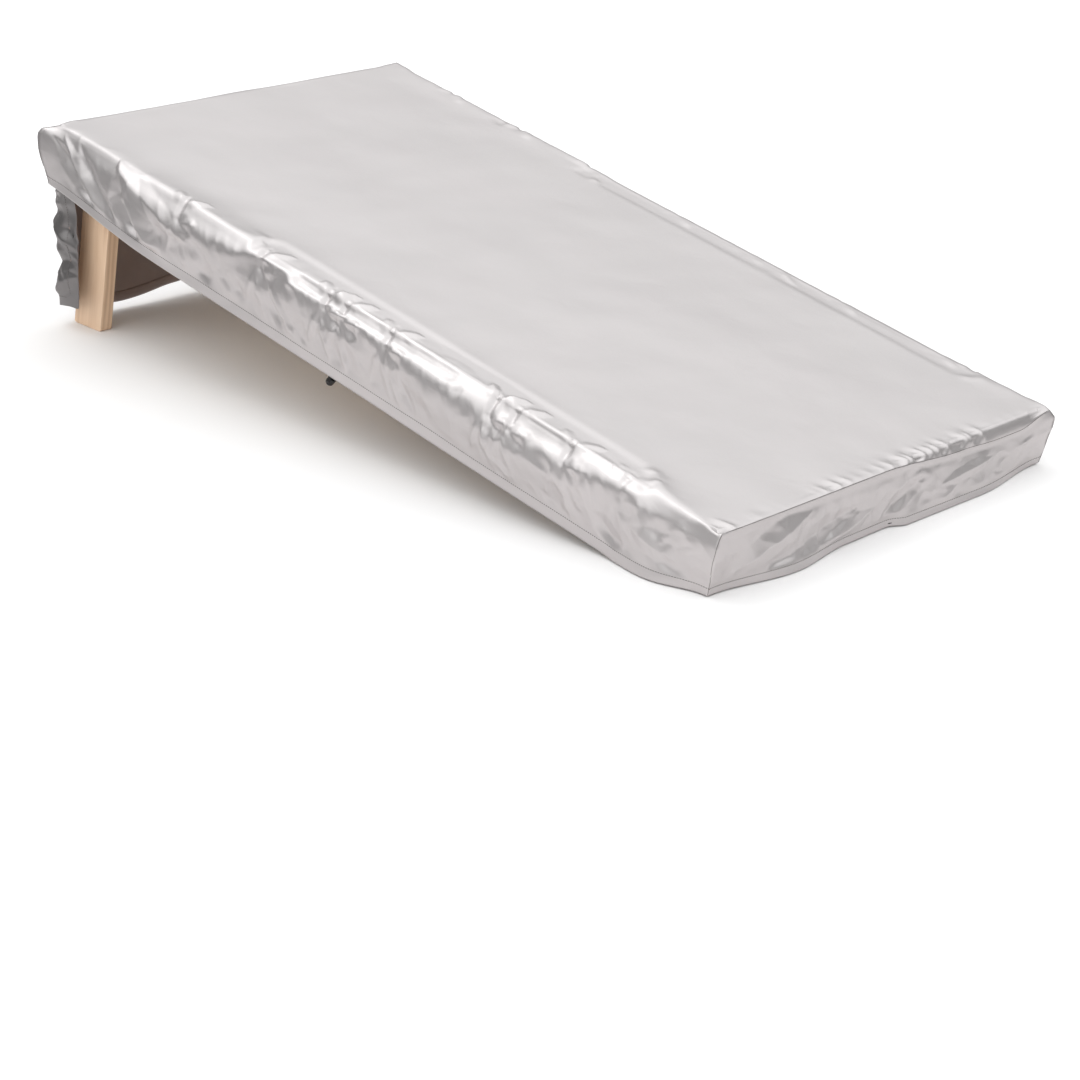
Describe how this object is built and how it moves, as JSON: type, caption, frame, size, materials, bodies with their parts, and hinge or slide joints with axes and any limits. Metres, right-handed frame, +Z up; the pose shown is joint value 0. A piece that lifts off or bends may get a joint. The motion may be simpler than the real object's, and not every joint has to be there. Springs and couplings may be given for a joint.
{
  "type": "covered cornhole board",
  "caption": "Cornhole board on two folding wooden legs, tilted low end forward, under a fitted silver fabric weather cover with a hem drawcord and sprung cord lock.",
  "frame": {"origin": "on the floor, at the middle of the whole object's width and length", "axes": "+X to the right of a player facing the board, +Y from the low front end to the high back end, +Z up"},
  "size_m": [0.6269, 1.2542, 0.2895],
  "materials": {
    "plywood": "clear-lacquered birch plywood",
    "timber": "planed pale timber, oiled",
    "steel": "zinc plated",
    "cover_fabric": "silver-coated satin weave outside, warm grey backing inside",
    "cord": "black braided cord",
    "black_plastic": "gloss black moulding"
  },
  "bodies": {
    "board_frame": {"deck_panel": "plywood", "left_side_rail": "timber", "right_side_rail": "timber", "front_rail": "timber", "back_rail": "timber", "centre_brace": "timber", "deck_screws": "steel", "frame_screws": "steel", "pivot_bolts": "steel", "pivot_spacer_washers": "steel", "pivot_outer_washers": "steel", "pivot_lock_nuts": "steel"},
    "left_leg": {"left_leg": "timber"},
    "right_leg": {"right_leg": "timber"},
    "weather_cover": {"cover_top_panel": "cover_fabric", "cover_left_skirt": "cover_fabric", "cover_right_skirt": "cover_fabric", "cover_front_skirt": "cover_fabric", "cover_back_flap": "cover_fabric", "drawcord": "cord"},
    "cord_lock": {"cord_lock_barrel": "black_plastic", "cord_lock_spring": "steel"},
    "cord_lock_button": {"cord_lock_button": "black_plastic"}
  },
  "joints": [
    {"name": "left_leg_fold", "type": "hinge", "parent": "board_frame", "child": "left_leg", "pos_m": [-0.26775, 0.52506, 0.23189], "axis": [-1, 0, 0], "range_deg": [0, 90]},
    {"name": "right_leg_fold", "type": "hinge", "parent": "board_frame", "child": "right_leg", "pos_m": [0.27825, 0.52506, 0.23189], "axis": [-1, 0, 0], "range_deg": [0, 90]},
    {"name": "cover_lift_off", "type": "slide", "parent": "board_frame", "child": "weather_cover", "axis": [0, -0.1736, 0.9848], "range_m": [0, 0.32], "deforming": ["drawcord"]},
    {"name": "cord_lock_slide", "type": "slide", "parent": "weather_cover", "child": "cord_lock", "axis": [1, 0, 0], "range_m": [0, 0.02]},
    {"name": "cord_lock_press", "type": "slide", "parent": "cord_lock", "child": "cord_lock_button", "axis": [0, 0.6652, -0.7466], "range_m": [0, 0.0022], "stiffness_N_per_m": 800, "springref_m": -0.002, "deforming": ["cord_lock_spring"]}
  ]
}
